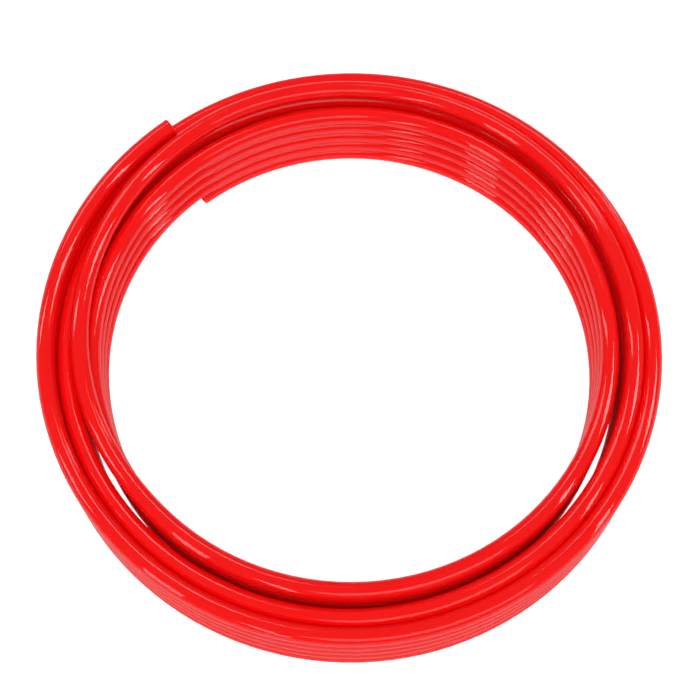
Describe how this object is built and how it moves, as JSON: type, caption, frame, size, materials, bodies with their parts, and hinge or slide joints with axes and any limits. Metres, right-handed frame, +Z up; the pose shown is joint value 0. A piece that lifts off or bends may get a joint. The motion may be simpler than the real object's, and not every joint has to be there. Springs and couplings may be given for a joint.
{
  "type": "coiled air hose",
  "caption": "Round coil of one plain pneumatic tube, wound in three nested layers, with both ends cut square and no fittings.",
  "frame": {"origin": "on the surface that the coil lies on, at the coil's vertical axis", "axes": "+Z up along the coil's axis, +X to the right and +Y away from a viewer in front; the tube winds clockwise seen from above"},
  "size_m": [0.2712, 0.2712, 0.048],
  "materials": {
    "red_tube": "glossy extruded polyurethane, solid red",
    "cut_end": "the same red tube, with a slightly duller knife-cut face"
  },
  "bodies": {
    "root": {"inner_layer": "red_tube", "middle_layer": "red_tube", "outer_layer": "red_tube", "top_crossover": "red_tube", "inner_end": "cut_end", "outer_end": "cut_end"}
  },
  "joints": []
}
